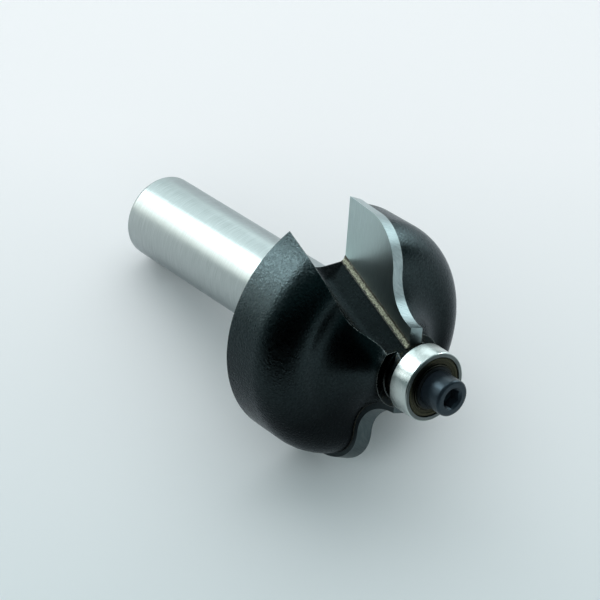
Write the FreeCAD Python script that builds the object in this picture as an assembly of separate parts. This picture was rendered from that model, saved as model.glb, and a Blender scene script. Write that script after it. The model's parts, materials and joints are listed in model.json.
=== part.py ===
# Two-flute ogee router bit with a ball-bearing pilot, in millimetres.
#
# Every piece is modelled about the tool axis: Z runs along the axis from the back plane of the
# cutting head towards the pilot bearing, X points along the first blade and Y is the way that
# the first blade cuts. The last step lays the finished bit down the way it comes to rest, on the
# shank's end and on the two back corners of its lower gullet, with +Z up and the pilot end to +X.
import FreeCAD, Part
import math
import os

from FreeCAD import Vector

# Shank
shank_diameter = 12.0
shank_length = 38.8
shank_end_chamfer = 1.2
shank_root_fillet = 2.0

# Cutting profile, from the back plane: a straight land, a convex quarter and a concave quarter
cutting_diameter = 35.1
land_length = 5.25
convex_radius = 6.2
concave_radius = 5.15
body_setback = 1.05

# Carbide blades and their seats
blade_thickness = 1.93
blade_face_setback = 2.38
axial_rake_deg = 8.575
land_relief_drop = 0.5
nose_relief_drop = 0.25
braze_film = 0.1
braze_bead_height = 0.68
braze_bead_width = 0.65
braze_bead_fullness = 0.37

# Gullets
gullet_floor_height = 8.15
gullet_floor_slope_deg = 15.96
heel_wall_offset = 1.425
heel_wall_opening_deg = 30.84
heel_wall_twist_deg = 19.09
gullet_fillet = 4.0

# Neck and bearing seat
neck_diameter = 8.0
neck_length = 1.93
seat_land_height = 0.25
spigot_shortfall = 0.12
spigot_end_chamfer = 0.15

# Pilot bearing
bearing_bore = 4.7625
bearing_outside = 9.525
bearing_width = 3.175
ball_count = 8
ball_diameter = 1.5875
inner_ring_wall = 0.72
outer_ring_wall = 0.71
ring_edge_break = 0.18
race_clearance = 0.02

# Bearing shields, with depths taken inwards from the bearing's faces
shield_thickness = 0.12
shield_recess = 0.1
shield_step = 0.06
shield_step_radius = 3.6
shield_rim_width = 0.2
shield_rim_depth = 0.3
shield_groove_depth = 0.15
shield_seat_lip = 0.1
shield_clearance = 0.1

# Ball cage
cage_clearance = 0.11
cage_pocket_clearance = 0.04
cage_web = 0.12
cage_finger_reach = 0.35
cage_slot_width = 0.4
cage_slot_depth = 0.62

# Screw and washer
screw_diameter = 3.175
screw_length = 9.525
screw_head_diameter = 4.98
screw_head_height = 3.36
screw_head_chamfer = 0.25
screw_tip_chamfer = 0.4
socket_across_flats = 2.38
socket_depth = 1.7
socket_mouth_break = 0.08
drill_point_deg = 118.0
washer_diameter = 5.8
washer_thickness = 0.2

# Fits
spigot_clearance = 0.011
thread_clearance = 0.03
washer_hole_clearance = 0.1
screw_hole_spare = 1.2

# Lengths that follow from the sizes above
cutting_radius = cutting_diameter / 2
shoulder_radius = cutting_radius - convex_radius
cutting_height = land_length + convex_radius + concave_radius
body_radius = cutting_radius - body_setback
flare_end_radius = shoulder_radius - concave_radius - body_setback
bearing_back = cutting_height + neck_length
bearing_front = bearing_back + bearing_width
bearing_middle = bearing_back + bearing_width / 2
inner_land_radius = bearing_bore / 2 + inner_ring_wall
outer_land_radius = bearing_outside / 2 - outer_ring_wall
groove_radius = outer_land_radius + shield_groove_depth
shield_seat = bearing_front - shield_rim_depth - shield_thickness
pitch_radius = (bearing_bore + bearing_outside) / 4
ball_radius = ball_diameter / 2
spigot_radius = bearing_bore / 2 - spigot_clearance
spigot_end = bearing_front - spigot_shortfall
head_underside = bearing_front + washer_thickness
thread_radius = screw_diameter / 2
tapped_radius = thread_radius + thread_clearance
tapped_bottom = head_underside - screw_length - screw_hole_spare

rake_slope = math.tan(math.radians(axial_rake_deg))
floor_slope = math.tan(math.radians(gullet_floor_slope_deg))
heel_opening = math.tan(math.radians(heel_wall_opening_deg))
heel_twist = math.tan(math.radians(heel_wall_twist_deg))
drill_point = 1 / math.tan(math.radians(drill_point_deg / 2))
diagonal = math.sqrt(0.5)

# How far the cutting tools for gullets and pockets run past the stock
overrun = 3.0
reach = cutting_radius + overrun

axis = Vector(0, 0, 1)
centre = Vector(0, 0, 0)


# An outline is a list of (radius, height) corners. An item with four numbers is an arc: a point on
# the way, then its end.
def turned(outline):
    points = [Vector(item[-2], 0, item[-1]) for item in outline]
    edges = []
    for i, end in enumerate(points):
        start = points[i - 1]
        if len(outline[i]) == 4:
            middle = Vector(outline[i][0], 0, outline[i][1])
            edges.append(Part.Arc(start, middle, end).toShape())
        else:
            edges.append(Part.makeLine(start, end))
    return Part.Face(Part.Wire(edges)).revolve(centre, axis, 360)


# A solid with flat sides between two outlines of as many corners
def block(lower, upper):
    faces = [Part.Face(Part.makePolygon(lower + lower[:1])),
             Part.Face(Part.makePolygon(upper + upper[:1]))]
    for i in range(len(lower)):
        side = [lower[i - 1], lower[i], upper[i], upper[i - 1], lower[i - 1]]
        faces.append(Part.Face(Part.makePolygon(side)))
    shell = Part.makeShell(faces)
    shell.sewShape()
    return Part.makeSolid(shell)


def half_turn(shape):
    turned_shape = shape.copy()
    turned_shape.rotate(centre, axis, 180)
    return turned_shape


# Planes of a flute, each as a height along Y or X at the height z
def blade_face(z):
    return rake_slope * z - blade_face_setback


def blade_back(z):
    return blade_face(z) - blade_thickness / math.cos(math.radians(axial_rake_deg))


def gullet_floor(z):
    return gullet_floor_height - floor_slope * z


def heel_wall(x, z):
    return heel_opening * x + heel_twist * z - heel_wall_offset


# The blade's outer outline in a plane parallel to its face. The drops are how far the flank has
# fallen back from the cutting edge at the land and at the nose.
def blade_outline(plane, land_drop, nose_drop):
    cove_drop = (land_drop + nose_drop) / 2
    convex = convex_radius - land_drop
    cove = concave_radius + cove_drop
    nose_radius = shoulder_radius - concave_radius - nose_drop
    inside = gullet_floor(cutting_height) - overrun
    rim = cutting_radius - land_drop

    def on_plane(radius, z):
        y = plane(z)
        return Vector(math.sqrt(radius ** 2 - y ** 2), y, z)

    land_start = on_plane(rim, 0)
    land_end = on_plane(rim, land_length)
    rear = land_start + (land_start - land_end) * (overrun / land_length)
    convex_middle = on_plane(shoulder_radius + convex * diagonal, land_length + convex * diagonal)
    shoulder = on_plane(shoulder_radius, land_length + convex)
    cove_middle = on_plane(shoulder_radius - cove * diagonal, cutting_height - cove * diagonal)
    nose = on_plane(nose_radius, cutting_height)
    nose_front = Vector(nose.x, plane(cutting_height + overrun), cutting_height + overrun)
    inner_front = Vector(inside, nose_front.y, nose_front.z)
    inner_rear = Vector(inside, rear.y, rear.z)
    return Part.Wire([Part.makeLine(rear, land_end),
                      Part.Arc(land_end, convex_middle, shoulder).toShape(),
                      Part.Arc(shoulder, cove_middle, nose).toShape(),
                      Part.makeLine(nose, nose_front),
                      Part.makeLine(nose_front, inner_front),
                      Part.makeLine(inner_front, inner_rear),
                      Part.makeLine(inner_rear, rear)])


# A slab between two planes across a flute, standing on the gullet floor raised by a lift
def slab(low_plane, high_plane, lift, bottom, top):
    def corners(z):
        foot = gullet_floor(z) + lift
        return [Vector(foot, low_plane(z), z), Vector(reach, low_plane(z), z),
                Vector(reach, high_plane(z), z), Vector(foot, high_plane(z), z)]
    return block(corners(bottom), corners(top))


# Carbide blade: a flat slab cut to the profile, with its flanks relieved behind the edge
def carbide_blade():
    profile = Part.makeLoft([blade_outline(blade_face, 0, 0),
                             blade_outline(blade_back, land_relief_drop, nose_relief_drop)],
                            True, True)
    return slab(blade_back, blade_face, braze_film, 0, cutting_height).common(profile)


# Pocket that holds the blade, wider than it by the braze behind and under it
def blade_pocket():
    def pocket_wall(z):
        return blade_back(z) - braze_film
    return slab(pocket_wall, blade_face, 0, -overrun, bearing_back - seat_land_height)


# Gullet ahead of the blade: a flat floor, the blade's face plane and the heel wall behind the
# other wing, with the corner at the heel wall rounded
def gullet():
    def corners(z):
        return [Vector(gullet_floor(z), blade_face(z), z), Vector(reach, blade_face(z), z),
                Vector(reach, heel_wall(reach, z), z),
                Vector(gullet_floor(z), heel_wall(gullet_floor(z), z), z)]
    lower = corners(-overrun)
    upper = corners(bearing_back - seat_land_height)
    void = block(lower, upper)
    corner_middle = (lower[3] + upper[3]) * 0.5
    corner = min(void.Edges, key=lambda edge: edge.CenterOfMass.distanceToPoint(corner_middle))
    return void.makeFillet(gullet_fillet, [corner])


# The turned blank: shank, root fillet, head, flared front, neck, bearing seat and spigot
def turned_blank():
    shank_radius = shank_diameter / 2
    root = shank_root_fillet * (1 - diagonal)
    convex = convex_radius - body_setback
    cove = concave_radius + body_setback
    seat_start = bearing_back - seat_land_height
    return turned([
        (0, -shank_length),
        (shank_radius - shank_end_chamfer, -shank_length),
        (shank_radius, -shank_length + shank_end_chamfer),
        (shank_radius, -shank_root_fillet),
        (shank_radius + root, -root, shank_radius + shank_root_fillet, 0),
        (body_radius, 0),
        (body_radius, land_length),
        (shoulder_radius + convex * diagonal, land_length + convex * diagonal,
         shoulder_radius, land_length + convex),
        (shoulder_radius - cove * diagonal, cutting_height - cove * diagonal,
         flare_end_radius, cutting_height),
        (neck_diameter / 2, cutting_height),
        (neck_diameter / 2, seat_start),
        (inner_land_radius, seat_start),
        (inner_land_radius, bearing_back),
        (spigot_radius, bearing_back),
        (spigot_radius, spigot_end - spigot_end_chamfer),
        (spigot_radius - spigot_end_chamfer, spigot_end),
        (0, spigot_end)])


def tapped_hole():
    return turned([
        (0, tapped_bottom - tapped_radius * drill_point),
        (tapped_radius, tapped_bottom),
        (tapped_radius, spigot_end + overrun),
        (0, spigot_end + overrun)])


def cutter_body():
    flute = [gullet(), blade_pocket()]
    cuts = flute + [half_turn(shape) for shape in flute] + [tapped_hole()]
    return turned_blank().cut(cuts)


# Braze: the film behind and under the blade, and the bead in the corner ahead of it
def braze_seam():
    film = blade_pocket().common(turned_blank())
    film = film.cut(slab(blade_back, blade_face, braze_film, -overrun, cutting_height))
    film = film.common(slab(lambda z: -reach, lambda z: reach, 0, 0, cutting_height))
    corner = Vector(gullet_floor(0), blade_face(0), 0)
    top = corner + Vector(braze_bead_height, 0, 0)
    toe = corner + Vector(0, braze_bead_width, 0)
    hollow = corner + Vector(braze_bead_height, braze_bead_width, 0) * braze_bead_fullness
    section = Part.Wire([Part.makeLine(corner, top), Part.Arc(top, hollow, toe).toShape(),
                         Part.makeLine(toe, corner)])
    run = Vector(-floor_slope, rake_slope, 1) * cutting_height
    return film.fuse(Part.Face(section).extrude(run)).removeSplitter()


# Both rings are turned about the tool axis, with the race as a torus around the balls' circle
def race():
    groove = Part.makeTorus(pitch_radius, ball_radius + race_clearance)
    groove.translate(Vector(0, 0, bearing_middle))
    return groove


def inner_ring():
    bore = bearing_bore / 2
    ring = turned([
        (bore, bearing_back + ring_edge_break),
        (bore + ring_edge_break, bearing_back),
        (inner_land_radius, bearing_back),
        (inner_land_radius, bearing_front),
        (bore + ring_edge_break, bearing_front),
        (bore, bearing_front - ring_edge_break)])
    return ring.cut(race())


# What the bearing has at both ends is made at the front and mirrored to the back
def mirrored_to_back(shape):
    return shape.mirror(Vector(0, 0, bearing_middle), axis)


# Outer ring: its front half with the shield's groove, the same half mirrored, and the race
def outer_ring():
    rim = bearing_outside / 2
    corner = ring_edge_break * (1 - diagonal)
    front_half = turned([
        (outer_land_radius, bearing_middle),
        (outer_land_radius, shield_seat),
        (groove_radius, shield_seat),
        (groove_radius, bearing_front - shield_seat_lip),
        (groove_radius - shield_seat_lip / 2, bearing_front),
        (rim - ring_edge_break, bearing_front),
        (rim - corner, bearing_front - corner, rim, bearing_front - ring_edge_break),
        (rim, bearing_middle)])
    ring = front_half.fuse(mirrored_to_back(front_half)).removeSplitter()
    return ring.cut(race())


# Pressed front shield: a rim held in the outer ring's groove, a raised flat and a lower inner flat
def bearing_shield():
    inner_radius = inner_land_radius + shield_clearance
    rim_inside = groove_radius - shield_rim_width
    step_outside = shield_step_radius + shield_step
    rim_top = shield_seat + shield_thickness
    flat_top = bearing_front - shield_recess
    flat_bottom = flat_top - shield_thickness
    low_top = flat_top - shield_step
    low_bottom = low_top - shield_thickness
    return turned([
        (inner_radius, low_top),
        (shield_step_radius, low_top),
        (step_outside, flat_top),
        (rim_inside, flat_top),
        (rim_inside, rim_top),
        (groove_radius, rim_top),
        (groove_radius, shield_seat),
        (rim_inside - shield_thickness, shield_seat),
        (rim_inside - shield_thickness, flat_bottom),
        (step_outside, flat_bottom),
        (shield_step_radius, low_bottom),
        (inner_radius, low_bottom)])


def around_pitch_circle(shape, index):
    copy = shape.copy()
    copy.rotate(centre, axis, 360 / ball_count * index)
    return copy


def bearing_ball(index):
    ball = Part.makeSphere(ball_radius, Vector(pitch_radius, 0, bearing_middle))
    return around_pitch_circle(ball, index)


# Crown cage: a ring on one side of the balls, with pockets that snap around them and slots
# between the fingers
def ball_cage():
    pocket_radius = ball_radius + cage_pocket_clearance
    inner = inner_land_radius + cage_clearance
    outer = outer_land_radius - cage_clearance
    bottom = bearing_middle - cage_finger_reach
    top = bearing_middle + pocket_radius + cage_web
    ring = turned([(inner, bottom), (outer, bottom), (outer, top), (inner, top)])
    pocket = Part.makeSphere(pocket_radius, Vector(pitch_radius, 0, bearing_middle))
    slot = Part.makeBox(bearing_outside / 2, cage_slot_width, cage_slot_depth + overrun,
                        Vector(0, -cage_slot_width / 2, bottom - overrun))
    slot.rotate(centre, axis, 180 / ball_count)
    cuts = []
    for index in range(ball_count):
        cuts.append(around_pitch_circle(pocket, index))
        cuts.append(around_pitch_circle(slot, index))
    return ring.cut(cuts)


def screw_washer():
    hole = thread_radius + washer_hole_clearance
    return turned([(hole, bearing_front), (washer_diameter / 2, bearing_front),
                   (washer_diameter / 2, head_underside), (hole, head_underside)])


# Socket cap screw: turned head and shank, with a hexagon socket that ends in a drill point
def clamp_screw():
    head_radius = screw_head_diameter / 2
    head_top = head_underside + screw_head_height
    tip = head_underside - screw_length
    screw = turned([
        (0, tip),
        (thread_radius - screw_tip_chamfer, tip),
        (thread_radius, tip + screw_tip_chamfer),
        (thread_radius, head_underside),
        (head_radius, head_underside),
        (head_radius, head_top - screw_head_chamfer),
        (head_radius - screw_head_chamfer, head_top),
        (0, head_top)])
    corner_radius = socket_across_flats / math.sqrt(3)
    floor = head_top - socket_depth
    corners = [Vector(corner_radius * math.cos(math.radians(60 * i)),
                      corner_radius * math.sin(math.radians(60 * i)), floor) for i in range(6)]
    hexagon = Part.Face(Part.makePolygon(corners + corners[:1]))
    socket = hexagon.extrude(Vector(0, 0, socket_depth + overrun))
    mouth_radius = corner_radius + socket_mouth_break
    mouth = turned([(0, head_top - mouth_radius), (mouth_radius, head_top),
                    (mouth_radius, head_top + overrun), (0, head_top + overrun)])
    flat_radius = socket_across_flats / 2
    point = turned([(0, floor - flat_radius * drill_point), (flat_radius, floor), (0, floor)])
    return screw.cut([socket, mouth, point])


# The bit lies on the shank's end and on two back corners of the lower gullet: the blade's tip and
# the heel. Their chord faces straight down, and the axis tilts by the difference in height.
def resting_placement():
    blade_tip = Vector(math.sqrt(cutting_radius ** 2 - blade_face(0) ** 2), blade_face(0), 0)
    a = 1 + heel_opening ** 2
    b = -heel_opening * heel_wall_offset
    c = heel_wall_offset ** 2 - body_radius ** 2
    heel_x = (-b + math.sqrt(b ** 2 - a * c)) / a
    heel_tip = Vector(heel_x, heel_wall(heel_x, 0), 0)
    chord = heel_tip - blade_tip
    facing = math.atan2(-chord.x, chord.y)
    chord_height = blade_tip.x * math.cos(facing) + blade_tip.y * math.sin(facing)
    rise = chord_height - shank_diameter / 2
    tilt = math.atan2(rise, shank_length - shank_end_chamfer)
    roll = FreeCAD.Rotation(axis, -math.degrees(facing))
    lay_down = FreeCAD.Rotation(Vector(-math.sin(tilt), 0, math.cos(tilt)), Vector(0, -1, 0),
                                Vector(math.cos(tilt), 0, math.sin(tilt)), "ZXY")
    height = chord_height * math.cos(tilt)
    return FreeCAD.Placement(Vector(0, 0, height), lay_down.multiply(roll))


def all_pieces():
    blade = carbide_blade()
    braze = braze_seam()
    shield = bearing_shield()
    pieces = {
        "cutter_body": cutter_body(),
        "carbide_blade_1": blade,
        "carbide_blade_2": half_turn(blade),
        "braze_seam_1": braze,
        "braze_seam_2": half_turn(braze),
        "bearing_inner_ring": inner_ring(),
        "bearing_outer_ring": outer_ring(),
        "bearing_shield_front": shield,
        "bearing_shield_back": mirrored_to_back(shield),
        "ball_cage": ball_cage(),
        "screw_washer": screw_washer(),
        "clamp_screw": clamp_screw()}
    for index in range(ball_count):
        pieces[f"bearing_ball_{index + 1}"] = bearing_ball(index)
    return pieces


def export_pieces():
    os.makedirs("parts", exist_ok=True)
    pieces = all_pieces()
    resting = resting_placement()
    for shape in pieces.values():
        shape.Placement = resting.multiply(shape.Placement)
    box = Part.makeCompound(list(pieces.values())).optimalBoundingBox()
    for name, shape in pieces.items():
        shape.translate(Vector(-box.Center.x, -box.Center.y, 0))
        shape.exportStep(f"parts/{name}.step")


export_pieces()
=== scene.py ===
import json
import math

import bpy
from mathutils import Matrix, Vector, noise


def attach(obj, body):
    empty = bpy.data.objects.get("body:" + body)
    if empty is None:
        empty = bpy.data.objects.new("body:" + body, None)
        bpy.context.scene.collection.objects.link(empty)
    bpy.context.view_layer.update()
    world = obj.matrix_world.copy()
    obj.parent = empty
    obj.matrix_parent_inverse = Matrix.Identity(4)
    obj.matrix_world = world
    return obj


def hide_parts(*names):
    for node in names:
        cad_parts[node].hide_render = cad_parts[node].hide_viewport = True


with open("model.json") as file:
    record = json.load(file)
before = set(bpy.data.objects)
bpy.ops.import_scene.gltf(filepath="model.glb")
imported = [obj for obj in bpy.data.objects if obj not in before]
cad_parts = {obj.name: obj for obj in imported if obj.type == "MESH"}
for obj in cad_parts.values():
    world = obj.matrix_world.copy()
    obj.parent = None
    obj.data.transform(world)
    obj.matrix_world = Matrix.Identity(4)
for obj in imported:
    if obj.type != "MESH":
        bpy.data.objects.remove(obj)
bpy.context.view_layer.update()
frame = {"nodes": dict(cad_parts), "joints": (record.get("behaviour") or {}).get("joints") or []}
print("frame loaded:", len(frame["nodes"]), "nodes")

mm = 0.001

# The tool's own space: Z along the axis from the back plane of the head, X along the first blade
tool = {
    "bearingMiddle": 20.1175,  # height of the pilot bearing's middle above the back plane
    "roll": 15.09,  # turn of the first blade away from straight up, as the bit lies
}
spin = next(joint for joint in frame["joints"] if joint["name"] == "bearing_spin")
axisWay = Vector(spin["axis"]).normalized()
axisTilt = math.asin(axisWay.z)
toolOrigin = Vector(spin["pos_m"]) - axisWay * tool["bearingMiddle"] * mm
upright = Vector((-math.sin(axisTilt), 0, math.cos(axisTilt)))
sideways = axisWay.cross(upright)
rollAngle = math.radians(tool["roll"])
bladeWay = upright * math.cos(rollAngle) - sideways * math.sin(rollAngle)
cutWay = axisWay.cross(bladeWay)
toolTurn = Matrix((bladeWay, cutWay, axisWay)).transposed().to_4x4()
toolPlace = Matrix.Translation(toolOrigin) @ toolTurn


# Drawing helpers, for points in millimetres in the tool's space
def deselectAll():
    if bpy.context.object and bpy.context.object.mode != "OBJECT":
        bpy.ops.object.mode_set(mode="OBJECT")
    bpy.ops.object.select_all(action="DESELECT")


def selectOnly(piece):
    deselectAll()
    piece.select_set(True)
    bpy.context.view_layer.objects.active = piece


def startDrawing(name, points):
    deselectAll()
    bpy.ops.mesh.primitive_plane_add(size=mm, location=(0, 0, 0))
    piece = bpy.context.object
    piece.name = name
    piece.data.name = name
    bpy.ops.object.mode_set(mode="EDIT")
    bpy.ops.mesh.select_all(action="SELECT")
    bpy.ops.mesh.merge(type="CENTER")
    bpy.ops.transform.translate(value=Vector(points[0]) * mm)
    drawOn(points)
    return piece


def drawOn(points):
    for before, after in zip(points, points[1:]):
        step = (Vector(after) - Vector(before)) * mm
        bpy.ops.mesh.extrude_region_move(TRANSFORM_OT_translate={"value": step})


def arc(centre, radius, start, end, steps):
    points = []
    for i in range(steps + 1):
        angle = math.radians(start + (end - start) * i / steps)
        points.append((centre[0] + radius * math.cos(angle), centre[1] + radius * math.sin(angle)))
    return points


# A rounded corner of an outline, set back from the corner along both sides
def rounded(before, corner, after, setback, steps=3):
    before, corner, after = Vector(before), Vector(corner), Vector(after)
    first = corner + (before - corner).normalized() * setback
    last = corner + (after - corner).normalized() * setback
    points = []
    for i in range(steps + 1):
        share = i / steps
        middle = first.lerp(corner, share).lerp(corner.lerp(last, share), share)
        points.append((middle.x, middle.y))
    return points


# Rounds the corners named by index, with their setbacks, in a closed or open outline
def softened(outline, corners):
    points = []
    count = len(outline)
    for i, corner in enumerate(outline):
        if i in corners:
            points += rounded(outline[i - 1], corner, outline[(i + 1) % count], corners[i])
        else:
            points.append(corner)
    return points


def cleanMesh(limit=0.0004):
    bpy.ops.mesh.select_all(action="SELECT")
    bpy.ops.mesh.remove_doubles(threshold=limit * mm)
    bpy.ops.mesh.normals_make_consistent(inside=False)


# A turned piece from an outline of (radius, height). A ring's outline is closed, and a solid
# piece's outline starts and ends on the axis.
def turnedPiece(name, outline, steps, closed=True):
    points = [(radius, 0, height) for radius, height in outline]
    if closed:
        points.append(points[0])
    piece = startDrawing(name, points)
    cleanMesh()
    bpy.ops.mesh.spin(steps=steps, angle=math.tau, center=(0, 0, 0), axis=(0, 0, 1))
    cleanMesh()
    bpy.ops.object.mode_set(mode="OBJECT")
    return piece


# A solid between two closed outlines that have the same number of points
def bridgedPiece(name, lower, upper):
    piece = startDrawing(name, lower + lower[:1])
    cleanMesh()
    bpy.ops.mesh.edge_face_add()
    bpy.ops.object.mode_set(mode="OBJECT")
    startDrawing(name, upper + upper[:1])
    cleanMesh()
    bpy.ops.mesh.edge_face_add()
    bpy.ops.object.mode_set(mode="OBJECT")
    piece.select_set(True)
    bpy.context.view_layer.objects.active = piece
    bpy.ops.object.join()
    bpy.ops.object.mode_set(mode="EDIT")
    bpy.ops.mesh.select_all(action="SELECT")
    bpy.ops.mesh.bridge_edge_loops()
    cleanMesh()
    bpy.ops.object.mode_set(mode="OBJECT")
    return piece


def turnHalf(piece):
    selectOnly(piece)
    bpy.ops.object.mode_set(mode="EDIT")
    bpy.ops.mesh.select_all(action="SELECT")
    bpy.ops.transform.rotate(value=math.pi, orient_axis="Z", center_override=(0, 0, 0))
    bpy.ops.object.mode_set(mode="OBJECT")


def halfTurned(piece, name):
    selectOnly(piece)
    bpy.ops.object.duplicate()
    other = bpy.context.object
    other.name = other.data.name = name
    turnHalf(other)
    return other


cutPast = 1  # how far a cutting shape stands out of the piece that it cuts


# Cuts a shape out of a piece. The walls of the cut take the material slot with the given number.
def cutAway(piece, shape, slot=0):
    if slot:
        while len(shape.data.materials) <= slot:
            shape.data.materials.append(None)
        for face in shape.data.polygons:
            face.material_index = slot
    cut = piece.modifiers.new("Cut", "BOOLEAN")
    cut.operation = "DIFFERENCE"
    cut.solver = "EXACT"
    cut.object = shape
    selectOnly(piece)
    bpy.ops.object.modifier_apply(modifier=cut.name)
    bpy.data.objects.remove(shape)


def smoothPiece(piece, angle=28):
    selectOnly(piece)
    bpy.ops.object.shade_smooth_by_angle(angle=math.radians(angle))


def layDown(piece):
    selectOnly(piece)
    piece.matrix_world = toolPlace
    bpy.ops.object.transform_apply(location=True, rotation=True, scale=True)


# Each finished piece is laid down with the tool, rides on its body and stands for its nodes
def finishPiece(piece, body, nodes, material):
    smoothPiece(piece)
    layDown(piece)
    if not piece.data.materials:
        piece.data.materials.append(material)
    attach(piece, body)
    if nodes:
        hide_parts(*nodes)
    print("made", piece.name, len(piece.data.polygons), "faces")


# Materials
def newMaterial(name):
    material = bpy.data.materials.new(name)
    material.use_nodes = True
    nodes = material.node_tree.nodes
    return material, nodes, material.node_tree.links, nodes["Principled BSDF"]


def groupSocket(group, name, way, kind, value=None):
    socket = group.interface.new_socket(name=name, in_out=way, socket_type=kind)
    if value is not None:
        socket.default_value = value


# Object coordinates turned into the tool's space in millimetres, then stretched, with the height
# along the axis, the radius from it, and the lift above the table
def makeToolSpace():
    group = bpy.data.node_groups.new("Tool space", "ShaderNodeTree")
    for name in ("Scale around", "Scale along"):
        groupSocket(group, name, "INPUT", "NodeSocketFloat", 1)
    groupSocket(group, "Vector", "OUTPUT", "NodeSocketVector")
    for name in ("Height", "Radius", "Lift"):
        groupSocket(group, name, "OUTPUT", "NodeSocketFloat")
    nodes, links = group.nodes, group.links
    start, end = nodes.new("NodeGroupInput"), nodes.new("NodeGroupOutput")
    place = nodes.new("ShaderNodeTexCoord")
    turn = nodes.new("ShaderNodeMapping")
    turn.vector_type = "TEXTURE"
    turn.inputs["Location"].default_value = toolOrigin
    turn.inputs["Rotation"].default_value = toolTurn.to_euler()
    turn.inputs["Scale"].default_value = (mm, mm, mm)
    parts = nodes.new("ShaderNodeSeparateXYZ")
    stretch = nodes.new("ShaderNodeCombineXYZ")
    multiply = nodes.new("ShaderNodeVectorMath")
    multiply.operation = "MULTIPLY"
    flat = nodes.new("ShaderNodeCombineXYZ")
    length = nodes.new("ShaderNodeVectorMath")
    length.operation = "LENGTH"
    links.new(place.outputs["Object"], turn.inputs["Vector"])
    links.new(turn.outputs["Vector"], parts.inputs["Vector"])
    links.new(turn.outputs["Vector"], multiply.inputs[0])
    links.new(start.outputs["Scale around"], stretch.inputs["X"])
    links.new(start.outputs["Scale around"], stretch.inputs["Y"])
    links.new(start.outputs["Scale along"], stretch.inputs["Z"])
    links.new(stretch.outputs["Vector"], multiply.inputs[1])
    links.new(multiply.outputs["Vector"], end.inputs["Vector"])
    links.new(parts.outputs["Z"], end.inputs["Height"])
    links.new(parts.outputs["X"], flat.inputs["X"])
    links.new(parts.outputs["Y"], flat.inputs["Y"])
    links.new(flat.outputs["Vector"], length.inputs[0])
    links.new(length.outputs["Value"], end.inputs["Radius"])
    lying = nodes.new("ShaderNodeSeparateXYZ")
    lift = nodes.new("ShaderNodeMath")
    lift.operation = "DIVIDE"
    lift.inputs[1].default_value = mm
    links.new(place.outputs["Object"], lying.inputs["Vector"])
    links.new(lying.outputs["Z"], lift.inputs[0])
    links.new(lift.outputs["Value"], end.inputs["Lift"])
    return group


# The noise seldom leaves this range, so the marks are stretched from it
noiseRange = (0.3, 0.7)


# Fine marks of a wheel or of a spray: noise in the tool's space, from a low value to a high one
def makeMarks():
    group = bpy.data.node_groups.new("Surface marks", "ShaderNodeTree")
    starts = {"Scale around": 1, "Scale along": 1, "Detail": 4, "Low": 0, "High": 1}
    for name, value in starts.items():
        groupSocket(group, name, "INPUT", "NodeSocketFloat", value)
    groupSocket(group, "Value", "OUTPUT", "NodeSocketFloat")
    nodes, links = group.nodes, group.links
    start, end = nodes.new("NodeGroupInput"), nodes.new("NodeGroupOutput")
    space = nodes.new("ShaderNodeGroup")
    space.node_tree = toolSpace
    cloud = nodes.new("ShaderNodeTexNoise")
    cloud.inputs["Scale"].default_value = 1
    spread = nodes.new("ShaderNodeMapRange")
    for name in ("Scale around", "Scale along"):
        links.new(start.outputs[name], space.inputs[name])
    links.new(start.outputs["Detail"], cloud.inputs["Detail"])
    links.new(space.outputs["Vector"], cloud.inputs["Vector"])
    links.new(cloud.outputs["Fac"], spread.inputs["Value"])
    spread.inputs["From Min"].default_value, spread.inputs["From Max"].default_value = noiseRange
    links.new(start.outputs["Low"], spread.inputs["To Min"])
    links.new(start.outputs["High"], spread.inputs["To Max"])
    links.new(spread.outputs["Result"], end.inputs["Value"])
    return group


toolSpace = makeToolSpace()
surfaceMarks = makeMarks()


def marks(nodes, around, along, detail, low, high):
    node = nodes.new("ShaderNodeGroup")
    node.node_tree = surfaceMarks
    node.inputs["Scale around"].default_value = around
    node.inputs["Scale along"].default_value = along
    node.inputs["Detail"].default_value = detail
    node.inputs["Low"].default_value = low
    node.inputs["High"].default_value = high
    return node.outputs["Value"]


def addBump(nodes, links, height, strength, distance, under=None):
    bump = nodes.new("ShaderNodeBump")
    bump.inputs["Strength"].default_value = strength
    bump.inputs["Distance"].default_value = distance * mm
    links.new(height, bump.inputs["Height"])
    if under:
        links.new(under, bump.inputs["Normal"])
    return bump.outputs["Normal"]


def softEdge(nodes, radius, samples=4):
    edge = nodes.new("ShaderNodeBevel")
    edge.samples = samples
    edge.inputs["Radius"].default_value = radius * mm
    return edge.outputs["Normal"]


# A colour or a number is written on the socket, and an output is linked to it
def feed(links, source, socket):
    if isinstance(source, tuple):
        socket.default_value = (*source, 1)
    elif isinstance(source, (int, float)):
        socket.default_value = source
    else:
        links.new(source, socket)


def mixed(nodes, links, share, first, second, kind="RGBA"):
    mix = nodes.new("ShaderNodeMix")
    mix.data_type = kind
    for name, source in (("Factor", share), ("A", first), ("B", second)):
        feed(links, source, mix.inputs[name])
    return mix.outputs["Result"]


def product(nodes, links, first, second, clamp=False):
    multiply = nodes.new("ShaderNodeMath")
    multiply.operation = "MULTIPLY"
    multiply.use_clamp = clamp
    feed(links, first, multiply.inputs[0])
    feed(links, second, multiply.inputs[1])
    return multiply.outputs["Value"]


def rangeMask(nodes, links, source, low, high, least=0):
    mask = nodes.new("ShaderNodeMapRange")
    mask.inputs["From Min"].default_value = low
    mask.inputs["From Max"].default_value = high
    mask.inputs["To Min"].default_value = least
    links.new(source, mask.inputs["Value"])
    return mask.outputs["Result"]


def inToolSpace(nodes):
    space = nodes.new("ShaderNodeGroup")
    space.node_tree = toolSpace
    return space.outputs


# Octaves of the noise that drives a metal's tone and its gloss, and how much finer the gloss is
metalMarks = {"toneDetail": 5, "glossDetail": 4, "glossAround": 1.7, "glossAlong": 1.3}


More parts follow.
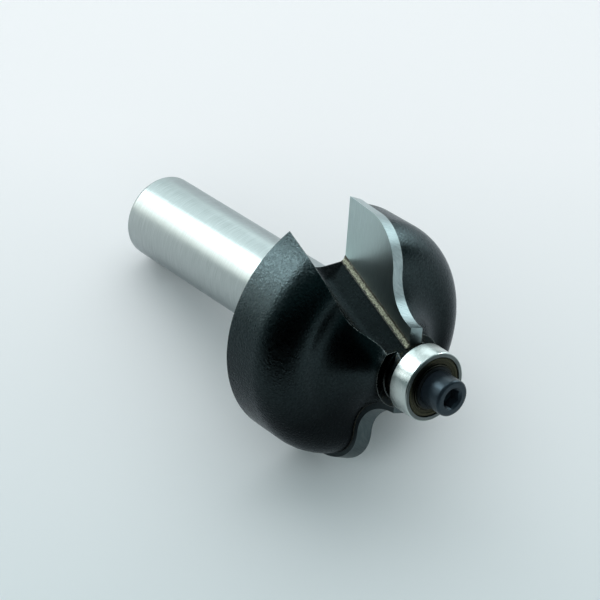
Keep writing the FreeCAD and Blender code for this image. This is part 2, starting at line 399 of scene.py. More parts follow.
# One metal finish: marks around the axis drive its tone, roughness and bump
def metalFinish(name, values):
    m = metalMarks
    material, nodes, links, shader = newMaterial(name)
    tone = marks(nodes, values["around"], values["along"], m["toneDetail"], 0, 1)
    links.new(mixed(nodes, links, tone, values["dark"], values["light"]),
              shader.inputs["Base Color"])
    gloss = marks(nodes, values["around"] * m["glossAround"], values["along"] * m["glossAlong"],
                  m["glossDetail"], values["smooth"], values["rough"])
    links.new(gloss, shader.inputs["Roughness"])
    shader.inputs["Metallic"].default_value = values["metallic"]
    if "sheen" in values:
        shader.inputs["Specular IOR Level"].default_value = values["specular"]
        shader.inputs["Specular Tint"].default_value = (*values["sheen"], 1)
    normal = addBump(nodes, links, tone, values["bump"], values["depth"],
                     softEdge(nodes, values["edge"]))
    links.new(normal, shader.inputs["Normal"])
    return material


# Each finish runs from dark to light and from smooth to rough, and its depth and edge are in
# millimetres. Specular and sheen tint what a dark coat reflects.
finishes = {
    "carbideFace": {"around": 0.7, "along": 14, "dark": (0.34, 0.42, 0.42),
                    "light": (0.42, 0.51, 0.51), "smooth": 0.3, "rough": 0.42, "metallic": 1,
                    "bump": 0.25, "depth": 0.004, "edge": 0.03},
    "carbideFlank": {"around": 0.7, "along": 11, "dark": (0.27, 0.34, 0.35),
                     "light": (0.40, 0.48, 0.49), "smooth": 0.26, "rough": 0.36, "metallic": 1,
                     "bump": 0.35, "depth": 0.006, "edge": 0.03},
    # A darker copy of the carbide for the second blade's flank: painted shade for what that side
    # reflects
    "shadedFlank": {"around": 0.7, "along": 11, "dark": (0.075, 0.095, 0.10),
                  "light": (0.11, 0.135, 0.14), "smooth": 0.38, "rough": 0.46, "metallic": 1,
                  "bump": 0.2, "depth": 0.006, "edge": 0.03},
    "bladeBack": {"around": 3, "along": 3, "dark": (0.004, 0.005, 0.006),
                  "light": (0.010, 0.013, 0.015), "smooth": 0.35, "rough": 0.45, "metallic": 0,
                  "bump": 0.3, "depth": 0.02, "edge": 0.03, "specular": 0.3,
                  "sheen": (0.74, 1.0, 1.05)},
    # The washer is darker and duller than the screw's black oxide: painted shade under the screw
    # head
    "shadedWasher": {"around": 3, "along": 3, "dark": (0.003, 0.004, 0.005),
                   "light": (0.008, 0.009, 0.009), "smooth": 0.35, "rough": 0.45, "metallic": 0,
                   "bump": 0.25, "depth": 0.006, "edge": 0.03, "specular": 0.15,
                   "sheen": (0.62, 0.9, 1.0)},
    "ballSteel": {"around": 1, "along": 1, "dark": (0.6, 0.6, 0.62),
                  "light": (0.7, 0.7, 0.72), "smooth": 0.08, "rough": 0.14, "metallic": 1,
                  "bump": 0.05, "depth": 0.001, "edge": 0.01},
    "cageSteel": {"around": 4, "along": 4, "dark": (0.4, 0.38, 0.33),
                  "light": (0.52, 0.5, 0.44), "smooth": 0.3, "rough": 0.45, "metallic": 1,
                  "bump": 0.2, "depth": 0.004, "edge": 0.02},
    "blackOxide": {"around": 3, "along": 3, "dark": (0.006, 0.009, 0.013),
                   "light": (0.014, 0.019, 0.025), "smooth": 0.3, "rough": 0.4, "metallic": 0,
                   "bump": 0.25, "depth": 0.006, "edge": 0.05, "specular": 0.42,
                   "sheen": (0.62, 0.9, 1.08)},
}
made = {name: metalFinish(name, values) for name, values in finishes.items()}


# A finish that changes at a distance from the axis: inside it and outside it there are a dark and a
# light tone, and a lowest and a highest roughness
def zonedFinish(name, values):
    m = metalMarks
    material, nodes, links, shader = newMaterial(name)
    outside = rangeMask(nodes, links, inToolSpace(nodes)["Radius"],
                        values["edgeRadius"] - values["blur"],
                        values["edgeRadius"] + values["blur"])
    tone = marks(nodes, values["around"], values["along"], m["toneDetail"], 0, 1)
    tones, glosses = [], []
    for zone in ("inside", "outside"):
        dark, light, smooth, rough = values[zone]
        tones.append(mixed(nodes, links, tone, dark, light))
        glosses.append(marks(nodes, values["around"] * m["glossAround"], values["along"],
                             m["glossDetail"], smooth, rough))
    links.new(mixed(nodes, links, outside, *tones), shader.inputs["Base Color"])
    links.new(mixed(nodes, links, outside, *glosses, "FLOAT"), shader.inputs["Roughness"])
    shader.inputs["Metallic"].default_value = 1
    normal = addBump(nodes, links, tone, values["bump"], values["depth"],
                     softEdge(nodes, values["edge"]))
    links.new(normal, shader.inputs["Normal"])
    return material


zones = {
    # The ring's faces, inside the edge radius, are painted much darker than its rim: painted shade
    "ringSteel": {"edgeRadius": 4.62, "blur": 0.04, "around": 0.6, "along": 26,
                  "inside": ((0.12, 0.135, 0.135), (0.19, 0.21, 0.205), 0.4, 0.5),
                  "outside": ((0.50, 0.54, 0.525), (0.60, 0.64, 0.62), 0.26, 0.34),
                  "bump": 0.15, "depth": 0.002, "edge": 0.04},
    "pressedShield": {"edgeRadius": 3.63, "blur": 0.03, "around": 5, "along": 5,
                      "inside": ((0.018, 0.018, 0.011), (0.04, 0.038, 0.022), 0.3, 0.42),
                      "outside": ((0.02, 0.02, 0.012), (0.065, 0.062, 0.036), 0.3, 0.42),
                      "bump": 0.2, "depth": 0.004, "edge": 0.02},
    # The steel inner ring is painted near black: painted shade in the narrow gap between washer and
    # shield
    "shadedInnerRing": {"edgeRadius": 2.95, "blur": 0.08, "around": 2, "along": 2,
                  "inside": ((0.008, 0.009, 0.008), (0.02, 0.022, 0.018), 0.4, 0.5),
                  "outside": ((0.02, 0.021, 0.016), (0.05, 0.052, 0.04), 0.35, 0.45),
                  "bump": 0.15, "depth": 0.002, "edge": 0.04},
}
for name, values in zones.items():
    made[name] = zonedFinish(name, values)


# The body is one piece with two finishes: a ground shank and a head with a thin black skin, whose
# tone is how much it reflects. The skin is painted brighter on the side that lies up, a painted
# sheen, and is calmer near the axis. Marks are given as scale around, scale along and detail, those
# of the flux specks with their lowest and highest value too.
bodyFinish = {
    "groundDark": (0.32, 0.355, 0.35), "groundLight": (0.46, 0.50, 0.495),
    "groundMarks": (0.35, 14, 6), "groundDepth": 0.06,
    "groundGloss": (0.8, 30, 4), "groundRough": (0.28, 0.36),
    "coatEnd": -2.6, "coatBlur": 0.15, "coatGloss": (1.5, 1.5, 3), "grainDetail": 2,
    "calmGrain": 0.1, "grainFrom": 10, "grainTo": 15.8, "wornFrom": 13, "wornTo": 28,
    "fluxColour": (0.030, 0.027, 0.014), "fluxStart": 15.9, "fluxBlur": 1,
    "fluxMarks": (3.2, 3.2, 3, -2.2, 1.4),
    "edgeToneRadius": 0.22, "edgeToneLean": (0.985, 0.86), "edgeTone": (0.16, 0.175, 0.17),
    "grazing": (0.76, 0.78, 0.8), "strength": 0.5, "edge": 0.06,
}
# The sprayed skin is stippled, and the milled gullets under it are smoother
coats = {
    "coatedBody": {"grain": 3.7, "depth": 0.062, "rough": (0.25, 0.31),
                   "low": ((0.005, 0.0066, 0.0072), (0.0072, 0.0095, 0.0104)),
                   # The second pair of tones is a painted sheen, for the side that lies up
                   "worn": ((0.027, 0.036, 0.038), (0.050, 0.066, 0.069))},
    # The gullets' tones are darker than the head's: painted shade in the gullets
    "coatedGullet": {"grain": 3.0, "depth": 0.04, "rough": (0.22, 0.3),
                     "low": ((0.0032, 0.004, 0.0042), (0.0068, 0.0086, 0.009)),
                     "worn": ((0.0038, 0.0048, 0.005), (0.0076, 0.0096, 0.01))},
}


# Where the skin turns lighter at its edges: how far an edge's rounded normal leans from the flat
# one
def edgeMask(nodes, links, radius, leanRange):
    flat = nodes.new("ShaderNodeNewGeometry")
    lean = nodes.new("ShaderNodeVectorMath")
    lean.operation = "DOT_PRODUCT"
    links.new(softEdge(nodes, radius), lean.inputs[0])
    links.new(flat.outputs["Normal"], lean.inputs[1])
    return rangeMask(nodes, links, lean.outputs["Value"], *leanRange)


def makeBodyFinish(name, coatValues):
    b = bodyFinish
    material, nodes, links, shader = newMaterial(name)
    space = inToolSpace(nodes)
    fluxEnd = b["fluxStart"] + b["fluxBlur"]
    isCoated = rangeMask(nodes, links, space["Height"],
                         b["coatEnd"] - b["coatBlur"], b["coatEnd"] + b["coatBlur"])
    front = rangeMask(nodes, links, space["Height"], b["fluxStart"], fluxEnd)
    behind = rangeMask(nodes, links, space["Height"], fluxEnd, b["fluxStart"])
    # Painted sheen: above a height over the table the skin reflects more, though not on the neck
    lifted = rangeMask(nodes, links, space["Lift"], b["wornFrom"], b["wornTo"])
    sheenMask = product(nodes, links, lifted, behind)

    lines = marks(nodes, *b["groundMarks"], 0, 1)
    grain = marks(nodes, coatValues["grain"], coatValues["grain"], b["grainDetail"], 0, 1)
    ground = mixed(nodes, links, lines, b["groundDark"], b["groundLight"])
    coat = mixed(nodes, links, sheenMask, mixed(nodes, links, grain, *coatValues["low"]),
                 mixed(nodes, links, grain, *coatValues["worn"]))
    specks = product(nodes, links, front, marks(nodes, *b["fluxMarks"]), clamp=True)
    coat = mixed(nodes, links, specks, coat, b["fluxColour"])
    # The skin is lighter along its sharp edges
    toneEdges = edgeMask(nodes, links, b["edgeToneRadius"], b["edgeToneLean"])
    coat = mixed(nodes, links, toneEdges, coat, b["edgeTone"])
    links.new(mixed(nodes, links, isCoated, ground, coat), shader.inputs["Base Color"])
    shader.inputs["Specular Tint"].default_value = (*b["grazing"], 1)
    shader.inputs["Metallic"].default_value = 1

    gloss = mixed(nodes, links, isCoated, marks(nodes, *b["groundGloss"], *b["groundRough"]),
                  marks(nodes, *b["coatGloss"], *coatValues["rough"]), "FLOAT")
    links.new(gloss, shader.inputs["Roughness"])

    calm = rangeMask(nodes, links, space["Radius"], b["grainFrom"], b["grainTo"], b["calmGrain"])
    height = mixed(nodes, links, isCoated, product(nodes, links, lines, b["groundDepth"]),
                   product(nodes, links, calm, grain), "FLOAT")
    normal = addBump(nodes, links, height, b["strength"], coatValues["depth"],
                     softEdge(nodes, b["edge"]))
    links.new(normal, shader.inputs["Normal"])
    return material


bodyFinishes = [makeBodyFinish(name, values) for name, values in coats.items()]


# The braze has two looks: a grainy bright alloy, and a dark tone along its sides
brazeMarks = {"toneDetail": 4, "fineScale": 9, "fineDetail": 3}
brazes = {
    "grainyBraze": {"grain": 5, "dark": (0.045, 0.045, 0.028), "light": (0.60, 0.59, 0.44),
                    "metallic": 0.6, "rough": 0.5, "bump": 0.8, "depth": 0.08},
    "darkBraze": {"grain": 4, "dark": (0.006, 0.006, 0.004), "light": (0.06, 0.052, 0.028),
                 "metallic": 0.2, "rough": 0.45, "bump": 0.6, "depth": 0.05},
}


def makeBrazeFinish(name, values):
    material, nodes, links, shader = newMaterial(name)
    grain = marks(nodes, values["grain"], values["grain"], brazeMarks["toneDetail"], 0, 1)
    links.new(mixed(nodes, links, grain, values["dark"], values["light"]),
              shader.inputs["Base Color"])
    shader.inputs["Metallic"].default_value = values["metallic"]
    shader.inputs["Roughness"].default_value = values["rough"]
    fine = marks(nodes, brazeMarks["fineScale"], brazeMarks["fineScale"],
                 brazeMarks["fineDetail"], 0, 1)
    links.new(addBump(nodes, links, fine, values["bump"], values["depth"]),
              shader.inputs["Normal"])
    return material


for name, values in brazes.items():
    made[name] = makeBrazeFinish(name, values)
print("materials made:", len(bpy.data.materials))

# Cutter: turned blank, then two gullets and two blade pockets cut out of it
cutter = {
    "shankRadius": 6.0, "shankEnd": -38.8, "shankChamfer": 1.2, "rootFillet": 2.0,
    "bodyRadius": 16.5, "land": 5.25, "shoulder": 11.35, "bodyConvex": 5.15, "bodyCove": 6.2,
    "height": 16.6, "neckRadius": 4.0, "seatStart": 18.28, "seatRadius": 3.1, "seat": 18.53,
    "spigotRadius": 2.37, "spigotEnd": 21.585, "holeRadius": 1.6175, "holeBottom": 11.18,
    "holeCone": 0.97, "endRound": 0.15, "chamferRound": 0.2, "rimBreak": 0.05, "neckBreak": 0.1,
    "spigotChamfer": 0.15, "filletSteps": 10, "convexSteps": 26, "coveSteps": 28,
    "steps": 288, "holeSteps": 48,
}
# The gullets and pockets, whose slopes are across by along
flute = {
    "rake": math.tan(math.radians(8.575)), "faceSetback": 2.38, "bladeThickness": 1.952,
    "film": 0.1, "floor": 8.15, "floorSlope": math.tan(math.radians(15.96)),
    "heelOpening": math.tan(math.radians(30.84)), "heelTwist": math.tan(math.radians(19.09)),
    "heelOffset": 1.425, "fillet": 4.0, "filletSteps": 14, "reach": 20.5, "below": -3.0,
    "above": 18.28, "pocketOver": 0.01,
}


def bladeFace(z):
    return flute["rake"] * z - flute["faceSetback"]


def gulletFloor(z):
    return flute["floor"] - flute["floorSlope"] * z


def heelWall(x, z):
    return flute["heelOpening"] * x + flute["heelTwist"] * z - flute["heelOffset"]


def gulletOutline(z):
    floor = gulletFloor(z)
    slope = math.atan(flute["heelOpening"])
    radius = flute["fillet"]
    centreX = floor + radius
    centreY = heelWall(centreX, z) - radius / math.cos(slope)
    bend = arc((centreX, centreY), radius, 90 + math.degrees(slope), 180, flute["filletSteps"])
    corners = [(floor, bladeFace(z)), (flute["reach"], bladeFace(z)),
               (flute["reach"], heelWall(flute["reach"], z))]
    return [(x, y, z) for x, y in corners + bend]


def pocketOutline(z):
    low = bladeFace(z) - flute["bladeThickness"] - flute["film"]
    high = bladeFace(z) + flute["pocketOver"]
    floor = gulletFloor(z)
    return [(floor, low, z), (flute["reach"], low, z), (flute["reach"], high, z),
            (floor, high, z)]


def makeBody():
    c = cutter
    chamferStart = (c["shankRadius"] - c["shankChamfer"], c["shankEnd"])
    chamferEnd = (c["shankRadius"], c["shankEnd"] + c["shankChamfer"])
    outline = [(0, c["shankEnd"])]
    outline += rounded((0, c["shankEnd"]), chamferStart, chamferEnd, c["endRound"])
    outline += rounded(chamferStart, chamferEnd, (c["shankRadius"], 0), c["chamferRound"])
    outline += arc((c["shankRadius"] + c["rootFillet"], -c["rootFillet"]), c["rootFillet"],
                   180, 90, c["filletSteps"])
    outline += [(c["bodyRadius"] - c["rimBreak"], 0), (c["bodyRadius"], c["rimBreak"])]
    outline += arc((c["shoulder"], c["land"]), c["bodyConvex"], 0, 90, c["convexSteps"])
    outline += arc((c["shoulder"], c["height"]), c["bodyCove"], 270, 180, c["coveSteps"])[1:]
    outline += [(c["neckRadius"] + c["neckBreak"], c["height"]),
                (c["neckRadius"], c["height"] + c["neckBreak"]),
                (c["neckRadius"], c["seatStart"]), (c["seatRadius"], c["seatStart"]),
                (c["seatRadius"], c["seat"]), (c["spigotRadius"], c["seat"]),
                (c["spigotRadius"], c["spigotEnd"] - c["spigotChamfer"]),
                (c["spigotRadius"] - c["spigotChamfer"], c["spigotEnd"]), (0, c["spigotEnd"])]
    body = turnedPiece("cutterBody", outline, c["steps"], closed=False)
    for finish in bodyFinishes:
        body.data.materials.append(finish)
    gullet = bridgedPiece("gullet", gulletOutline(flute["below"]), gulletOutline(flute["above"]))
    pocket = bridgedPiece("pocket", pocketOutline(flute["below"]), pocketOutline(flute["above"]))
    hole = turnedPiece("tappedHole", [
        (0, c["holeBottom"] - c["holeCone"]), (c["holeRadius"], c["holeBottom"]),
        (c["holeRadius"], c["spigotEnd"] + cutPast), (0, c["spigotEnd"] + cutPast)],
        c["holeSteps"], closed=False)
    cutAway(body, halfTurned(gullet, "otherGullet"), 1)
    cutAway(body, gullet, 1)
    cutAway(body, halfTurned(pocket, "otherPocket"), 1)
    cutAway(body, pocket, 1)
    cutAway(body, hole)
    return body


body = makeBody()
finishPiece(body, "cutter", ["cutter_body"], bodyFinishes[0])

# Carbide blades: the ogee outline in the face plane and, lower by the relief, in the back plane
blade = {
    "radius": 17.55, "land": 5.25, "shoulder": 11.35, "convex": 6.2, "cove": 5.15,
    "height": 16.6, "landDrop": 0.5, "noseDrop": 0.25, "arcSteps": 24,
    "onPlane": 0.01,  # a face this near to a plane counts as part of it
}


def bladeOutline(depth, landDrop, noseDrop):
    b = blade
    coveDrop = (landDrop + noseDrop) / 2
    profile = [(b["radius"] - landDrop, 0)]
    profile += arc((b["shoulder"], b["land"]), b["convex"] - landDrop, 0, 90, b["arcSteps"])
    cove = b["cove"] + coveDrop
    hollow = arc((b["shoulder"], b["height"]), cove, 270, 180, b["arcSteps"])
    for i, (radius, height) in enumerate(hollow[1:], start=1):
        ease = i / b["arcSteps"]
        height += (coveDrop - landDrop) * (1 - ease)
        radius += (coveDrop - noseDrop) * ease
        profile.append((radius, height))
    profile[-1] = (b["shoulder"] - b["cove"] - noseDrop, b["height"])
    points = []
    for radius, z in profile:
        y = bladeFace(z) - depth
        points.append((math.sqrt(radius ** 2 - y ** 2), y, z))
    for z in (b["height"], 0):
        points.append((gulletFloor(z) + flute["film"], bladeFace(z) - depth, z))
    return points


# The face and the flank are ground bare, and the back keeps the dark coat of the head
def paintBlade(piece, side, finishNames):
    for name in finishNames:
        piece.data.materials.append(made[name])
    for face in piece.data.polygons:
        depth = bladeFace(face.center.z / mm) - side * face.center.y / mm
        if depth > flute["bladeThickness"] - blade["onPlane"]:
            face.material_index = 1
        elif depth > blade["onPlane"]:
            face.material_index = 2


bladeOne = bridgedPiece("carbideBlade1", bladeOutline(0, 0, 0),
                        bladeOutline(flute["bladeThickness"], blade["landDrop"],
                                     blade["noseDrop"]))
bladeTwo = halfTurned(bladeOne, "carbideBlade2")
paintBlade(bladeOne, 1, ("carbideFace", "bladeBack", "carbideFlank"))
# The second blade's flank takes the darker carbide, a painted shade
paintBlade(bladeTwo, -1, ("carbideFace", "bladeBack", "shadedFlank"))
finishPiece(bladeOne, "cutter", ["carbide_blade_1"], made["carbideFace"])
finishPiece(bladeTwo, "cutter", ["carbide_blade_2"], made["carbideFace"])

# Braze beads: the film stays as the frame has it, and a rough bead is laid over its corner
bead = {
    "height": 0.7, "width": 0.67, "fullness": 0.46, "inset": 0.02, "sunk": 0.01,
    "curveSteps": 8, "steps": 150, "lumpHeight": 0.2, "lumpSize": 0.35, "lumpDetail": 3,
    "lumpSeed": 3, "level": 0.2, "ragged": 0.12, "raggedAlong": 1.8, "raggedSeed": 5,
    "brightFrom": 0.17, "brightTo": 0.86,  # the share of the bead's arc that keeps the bright alloy
}


def makeBead(name):
    z = bead["inset"]
    x, y = gulletFloor(z) - bead["sunk"], bladeFace(z) - bead["sunk"]
    section = [(x, y, z)]
    for i in range(bead["curveSteps"] + 1):
        share = i / bead["curveSteps"]
        first = Vector((x + bead["height"], y))
        last = Vector((x, y + bead["width"]))
        pull = Vector((x + bead["height"] * bead["fullness"] / 2,
                       y + bead["width"] * bead["fullness"] / 2))
        point = first.lerp(pull, share).lerp(pull.lerp(last, share), share)
        section.append((point.x, point.y, z))
    piece = startDrawing(name, section + section[:1])
    cleanMesh()
    bpy.ops.mesh.edge_face_add()
    length = blade["height"] - 2 * z
    run = Vector((-flute["floorSlope"], flute["rake"], 1)) * length / bead["steps"] * mm
    for _ in range(bead["steps"]):
        bpy.ops.mesh.extrude_region_move(TRANSFORM_OT_translate={"value": run})
    cleanMesh()
    bpy.ops.object.mode_set(mode="OBJECT")
    return piece


# The lumps lie in world space, so the bead stands aside while they swell it, and no two are alike
def roughenBead(piece, seed):
    lumps = bpy.data.textures.new("Braze lumps", "CLOUDS")
    lumps.noise_scale = bead["lumpSize"] * mm
    lumps.noise_depth = bead["lumpDetail"]
    piece.location.x = seed * mm
    swell = piece.modifiers.new("Lumps", "DISPLACE")
    swell.texture = lumps
    swell.texture_coords = "GLOBAL"
    swell.strength = bead["lumpHeight"] * mm
    swell.mid_level = bead["level"]
    selectOnly(piece)
    bpy.ops.object.modifier_apply(modifier=swell.name)
    piece.location.x = 0


# The bead is dark along both sides, with a ragged border
def paintBead(piece, seed):
    for name in ("grainyBraze", "darkBraze"):
        piece.data.materials.append(made[name])
    for face in piece.data.polygons:
        x, y, z = face.center / mm
        out, over = x - gulletFloor(z), y - bladeFace(z)
        ragged = bead["ragged"] * noise.noise(Vector((seed, x, z * bead["raggedAlong"])))
        share = math.atan2(over, out) / (math.pi / 2) + ragged
        if share < bead["brightFrom"] or share > bead["brightTo"]:
            face.material_index = 1


for index in (1, 2):
    seam = makeBead(f"brazeBead{index}")
    roughenBead(seam, bead["lumpSeed"] * index)
    paintBead(seam, bead["raggedSeed"] * index)
    if index == 2:
        turnHalf(seam)
    finishPiece(seam, "cutter", [], made["grainyBraze"])

# Pilot bearing
bearing = {
    "back": 18.53, "front": 21.705, "bore": 2.38125, "rim": 4.7625, "innerLand": 3.10125,
    "outerLand": 4.0525, "pitch": 3.571875, "race": 0.81375, "edge": 0.18, "groove": 4.2025,
    "shieldSeat": 0.42, "lipDepth": 0.1, "lipIn": 0.05, "lipRound": 0.02, "landBreak": 0.05,
    "raceSteps": 20, "edgeSteps": 6, "steps": 192, "innerSteps": 128,
}


def makeOuterRing():
    b = bearing
    middle = (b["back"] + b["front"]) / 2
    raceEdge = math.degrees(math.acos((b["outerLand"] - b["pitch"]) / b["race"]))
    race = arc((b["pitch"], middle), b["race"], -raceEdge, raceEdge, b["raceSteps"])
    lip = [(b["outerLand"], b["front"] - b["shieldSeat"]),
           (b["groove"], b["front"] - b["shieldSeat"]), (b["groove"], b["front"] - b["lipDepth"]),
           (b["groove"] - b["lipIn"], b["front"] - b["lipRound"]),
           (b["groove"] - b["lipRound"], b["front"])]
    corner = arc((b["rim"] - b["edge"], b["front"] - b["edge"]), b["edge"], 90, 0,
                 b["edgeSteps"])
    front = lip + corner
    back = [(radius, 2 * middle - height) for radius, height in reversed(front)]
    return turnedPiece("bearingOuterRing", race + front + back, b["steps"])


def makeInnerRing():
    b = bearing
    middle = (b["back"] + b["front"]) / 2
    raceEdge = math.degrees(math.acos((b["pitch"] - b["innerLand"]) / b["race"]))
    race = arc((b["pitch"], middle), b["race"], 180 + raceEdge, 180 - raceEdge, b["raceSteps"])
    land, landEdge = b["innerLand"], b["innerLand"] - b["landBreak"]
    outline = race + [(land, b["front"] - b["landBreak"]), (landEdge, b["front"]),
                      (b["bore"] + b["edge"], b["front"]), (b["bore"], b["front"] - b["edge"]),
                      (b["bore"], b["back"] + b["edge"]), (b["bore"] + b["edge"], b["back"]),
                      (landEdge, b["back"]), (land, b["back"] + b["landBreak"])]
    return turnedPiece("bearingInnerRing", outline, b["innerSteps"])


shield = {
    "inner": 3.20125, "step": 3.6, "stepDepth": 0.06, "recess": 0.1, "rimWidth": 0.2,
    "rimDepth": 0.3, "thickness": 0.12, "steps": 160,
    "softCorners": {1: 0.03, 2: 0.03, 3: 0.06},  # by the point's number from the shield's bore
}


def makeShield(name, face, inwards):
    s = shield
    groove = bearing["groove"]
    low = s["recess"] + s["stepDepth"]
    depths = [(s["inner"], low), (s["step"], low), (s["step"] + s["stepDepth"], s["recess"]),
              (groove - s["rimWidth"], s["recess"]), (groove - s["rimWidth"], s["rimDepth"]),
              (groove, s["rimDepth"]), (groove, s["rimDepth"] + s["thickness"]),
              (groove - s["rimWidth"] - s["thickness"], s["rimDepth"] + s["thickness"]),
              (groove - s["rimWidth"] - s["thickness"], s["recess"] + s["thickness"]),
              (s["step"] + s["stepDepth"], s["recess"] + s["thickness"]),
              (s["step"], low + s["thickness"]), (s["inner"], low + s["thickness"])]
    outline = softened([(radius, face + inwards * depth) for radius, depth in depths],
                       s["softCorners"])
    return turnedPiece(name, outline, s["steps"])


finishPiece(makeOuterRing(), "bearing_rim", ["bearing_outer_ring"],
            made["ringSteel"])
# The inner ring takes the near-black finish, a painted shade
finishPiece(makeInnerRing(), "cutter", ["bearing_inner_ring"],
            made["shadedInnerRing"])
finishPiece(makeShield("shieldFront", bearing["front"], -1), "bearing_rim",
            ["bearing_shield_front"], made["pressedShield"])
finishPiece(makeShield("shieldBack", bearing["back"], 1), "bearing_rim",
            ["bearing_shield_back"], made["pressedShield"])

# Screw and washer
screw = {
    "headRadius": 2.49, "underside": 21.905, "top": 25.265, "round": 0.38, "radius": 1.5875,
    "tip": 12.38, "tipChamfer": 0.4, "undersideRound": 0.08, "roundSteps": 10, "steps": 128,
    "acrossFlats": 2.38, "socketDepth": 1.7, "mouth": 0.18, "mouthSteps": 64,
    "pointDepth": 0.7, "pointOver": 0.2, "pointSteps": 48,
    "washerRadius": 2.9, "washerHole": 1.6875, "washerRound": 0.04, "washerSteps": 96,
}


def makeScrew():
    s = screw
    outline = [(0, s["tip"]), (s["radius"] - s["tipChamfer"], s["tip"]),
               (s["radius"], s["tip"] + s["tipChamfer"]), (s["radius"], s["underside"])]
    outline += rounded((0, s["underside"]), (s["headRadius"], s["underside"]),
                       (s["headRadius"], s["top"]), s["undersideRound"])
    outline += arc((s["headRadius"] - s["round"], s["top"] - s["round"]), s["round"], 0, 90,
                   s["roundSteps"])
    outline.append((0, s["top"]))
    piece = turnedPiece("clampScrew", outline, s["steps"], closed=False)
    corner = s["acrossFlats"] / math.sqrt(3)
    floor = s["top"] - s["socketDepth"]
    hexagon = [(corner * math.cos(math.radians(60 * i)), corner * math.sin(math.radians(60 * i)))
               for i in range(6)]
    socket = bridgedPiece("socket", [(x, y, floor) for x, y in hexagon],
                          [(x, y, s["top"] + cutPast) for x, y in hexagon])
    cutAway(piece, socket)
    mouthRadius = corner + s["mouth"]
    mouth = turnedPiece("mouth", [(0, s["top"] - mouthRadius), (mouthRadius, s["top"]),
                                  (mouthRadius, s["top"] + cutPast), (0, s["top"] + cutPast)],
                        s["mouthSteps"], closed=False)
    cutAway(piece, mouth)
    flat = s["acrossFlats"] / 2
    point = turnedPiece("point", [(0, floor - s["pointDepth"]), (flat, floor),
                                  (0, floor + s["pointOver"])], s["pointSteps"], closed=False)
    cutAway(piece, point)
    return piece


def makeWasher():
    s = screw
    corners = [(s["washerHole"], bearing["front"]), (s["washerRadius"], bearing["front"]),
               (s["washerRadius"], s["underside"]), (s["washerHole"], s["underside"])]
    outline = softened(corners, {1: s["washerRound"], 2: s["washerRound"]})
    return turnedPiece("screwWasher", outline, s["washerSteps"])


finishPiece(makeScrew(), "cutter", ["clamp_screw"], made["blackOxide"])
# The washer takes the darker black oxide, a painted shade
finishPiece(makeWasher(), "cutter", ["screw_washer"], made["shadedWasher"])

# Nodes that keep their own mesh
for name, node in frame["nodes"].items():
    if name.startswith("bearing_ball"):
        finish = made["ballSteel"]
    elif name == "ball_cage":
        finish = made["cageSteel"]
    elif name.startswith("braze"):
        finish = made["darkBraze"]
    else:
        continue
    node.data.materials.clear()
    node.data.materials.append(finish)
print("pieces made")

# Studio: a pale table lit by two large soft boxes, and smaller boxes around the bit that only the
# metal reflects. The table's colour is painted darker toward the camera, a painted fall of light,
# and the surround that lights it is brighter than the one the metal reflects.
studio = {
    "near": (0.70, 0.745, 0.76), "far": (0.975, 0.94, 0.955), "tableSize": 4.0,
    "tableRough": 0.6, "tableShine": 0.2, "fadeTurn": -41, "fadeFrom": 0.06, "fadeTo": -0.045,
    "shown": (0.040, 0.10, 0.105), "spread": (0.455, 0.54, 0.55),
    "lampDistance": 0.55, "lampAim": (11.95, -9.1, 30.1),
}
warm, cool = (1.0, 1.0, 0.96), (0.88, 0.98, 1.0)
# Each soft box by its direction from the bit, its width and height, its brightness and its colour
fills = {
    "skyBox": {"azimuth": 139, "height": 48, "size": (0.8, 0.8), "bright": 1.0,
               "colour": (1.0, 0.99, 0.99)},
    "frontFill": {"azimuth": 300, "height": 40, "size": (0.8, 0.8), "bright": 0.40,
                  "colour": (0.90, 1.0, 1.0)},
}
lamps = {
    "leftBox": {"azimuth": 193, "height": 30, "size": (0.26, 0.22), "bright": 10.0,
                "colour": cool},
    "leftLowBox": {"azimuth": 207, "height": 11, "size": (0.24, 0.15), "bright": 2.8,
                   "colour": warm},
    "farLeftBox": {"azimuth": 222, "height": 16, "size": (0.08, 0.20), "bright": 2.6,
                   "colour": cool},
    "backBox": {"azimuth": 139, "height": 15, "size": (0.20, 0.28), "bright": 2.2,
                "colour": cool},
    "backLeftBox": {"azimuth": 161, "height": 20, "size": (0.20, 0.34), "bright": 1.6,
                    "colour": cool},
    "rightBox": {"azimuth": 87, "height": 26, "size": (0.28, 0.16), "bright": 8.0,
                 "colour": cool},
    "rightBackBox": {"azimuth": 111, "height": 26, "size": (0.12, 0.14), "bright": 2.0,
                     "colour": cool},
    "rightLowBox": {"azimuth": 94, "height": 9, "size": (0.40, 0.15), "bright": 2.2,
                    "colour": cool},
    "overBackBox": {"azimuth": 148, "height": 52, "size": (0.30, 0.14), "bright": 1.6,
                    "colour": cool},
    "overBox": {"azimuth": 139, "height": 68, "size": (0.30, 0.14), "bright": 4.4,
                "colour": cool},
}


def makeTable():
    deselectAll()
    bpy.ops.mesh.primitive_plane_add(size=studio["tableSize"], location=(0, 0, 0))
    table = bpy.context.object
    table.name = "table"
    material, nodes, links, shader = newMaterial("tableTop")
    place = nodes.new("ShaderNodeTexCoord")
    turn = nodes.new("ShaderNodeMapping")
    turn.vector_type = "TEXTURE"
    turn.inputs["Rotation"].default_value = (0, 0, math.radians(studio["fadeTurn"]))
    across = nodes.new("ShaderNodeSeparateXYZ")
    links.new(place.outputs["Object"], turn.inputs["Vector"])
    links.new(turn.outputs["Vector"], across.inputs["Vector"])
    # Painted fall of light: the table's colour darkens toward the camera
    fade = rangeMask(nodes, links, across.outputs["X"], studio["fadeFrom"], studio["fadeTo"])
    links.new(mixed(nodes, links, fade, studio["near"], studio["far"]),
              shader.inputs["Base Color"])
    shader.inputs["Roughness"].default_value = studio["tableRough"]
    shader.inputs["Specular IOR Level"].default_value = studio["tableShine"]
    table.data.materials.append(material)


# A black card in front, which only the reflections see, keeps the near side of the bit dark
card = {"azimuth": 309, "distance": 0.13, "size": (0.34, 0.16), "lift": 0.001, "tone": 0.002}


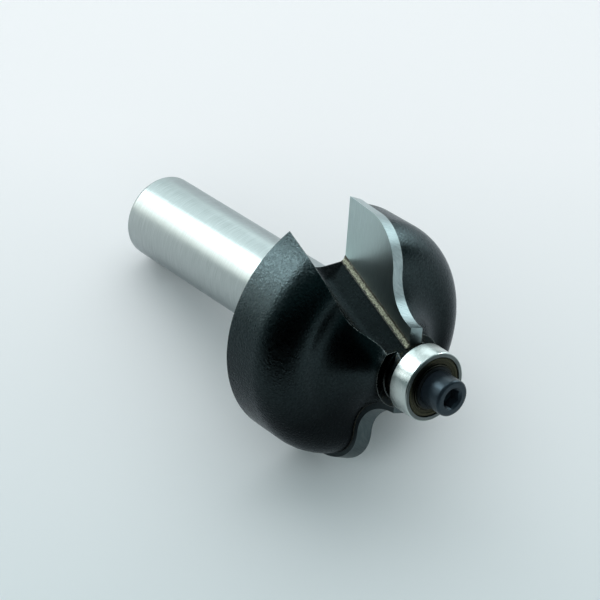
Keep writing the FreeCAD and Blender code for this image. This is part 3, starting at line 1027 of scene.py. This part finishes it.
def makeCard():
    deselectAll()
    azimuth = math.radians(card["azimuth"])
    way = Vector((math.cos(azimuth), math.sin(azimuth), 0))
    bpy.ops.mesh.primitive_plane_add(size=1, location=way * card["distance"])
    board = bpy.context.object
    board.name = "blackCard"
    board.scale = (*card["size"], 1)
    board.location.z = card["size"][1] / 2 + card["lift"]
    board.rotation_euler = (math.pi / 2, 0, azimuth + math.pi / 2)
    material, _, _, shader = newMaterial("blackCard")
    shader.inputs["Base Color"].default_value = (card["tone"], card["tone"], card["tone"], 1)
    shader.inputs["Specular IOR Level"].default_value = 0
    board.data.materials.append(material)
    board.visible_camera = board.visible_diffuse = board.visible_shadow = False


def makeLamp(name, values):
    lamp = bpy.data.lights.new(name, "AREA")
    lamp.shape = "RECTANGLE"
    lamp.size, lamp.size_y = values["size"]
    lamp.energy = values["bright"] * math.pi * lamp.size * lamp.size_y
    lamp.color = values["colour"]
    holder = bpy.data.objects.new(name, lamp)
    bpy.context.collection.objects.link(holder)
    azimuth, height = math.radians(values["azimuth"]), math.radians(values["height"])
    way = Vector((math.cos(azimuth) * math.cos(height), math.sin(azimuth) * math.cos(height),
                  math.sin(height)))
    holder.location = Vector(studio["lampAim"]) * mm + way * studio["lampDistance"]
    holder.rotation_mode = "QUATERNION"
    holder.rotation_quaternion = way.to_track_quat("Z", "Y")
    return holder


def makeSurround():
    world = bpy.context.scene.world or bpy.data.worlds.new("surround")
    bpy.context.scene.world = world
    world.use_nodes = True
    nodes, links = world.node_tree.nodes, world.node_tree.links
    path = nodes.new("ShaderNodeLightPath")
    links.new(mixed(nodes, links, path.outputs["Is Glossy Ray"], studio["spread"],
                    studio["shown"]), nodes["Background"].inputs["Color"])


makeTable()
makeCard()
makeSurround()
for lampName, lampValues in fills.items():
    makeLamp(lampName, lampValues).visible_glossy = False
for lampName, lampValues in lamps.items():
    makeLamp(lampName, lampValues).visible_diffuse = False

# Camera at the photograph's place
camera = {
    "place": (164.519, -140.43, 252.60), "aim": (11.958, -9.148, 30.141), "roll": 1.963,
    "lens": 144, "sensor": 36, "clip": (0.01, 20),
}


def makeCamera():
    lens = bpy.data.cameras.new("Camera")
    lens.lens = camera["lens"]
    lens.sensor_width = camera["sensor"]
    lens.clip_start, lens.clip_end = camera["clip"]
    holder = bpy.data.objects.new("Camera", lens)
    bpy.context.collection.objects.link(holder)
    place, aim = Vector(camera["place"]) * mm, Vector(camera["aim"]) * mm
    holder.location = place
    level = (aim - place).to_track_quat("-Z", "Y").to_matrix().to_4x4()
    turned = level @ Matrix.Rotation(math.radians(camera["roll"]), 4, "Z")
    holder.rotation_mode = "QUATERNION"
    holder.rotation_quaternion = turned.to_quaternion()
    bpy.context.scene.camera = holder


makeCamera()
bpy.context.scene.view_settings.view_transform = "Standard"
print("studio ready")
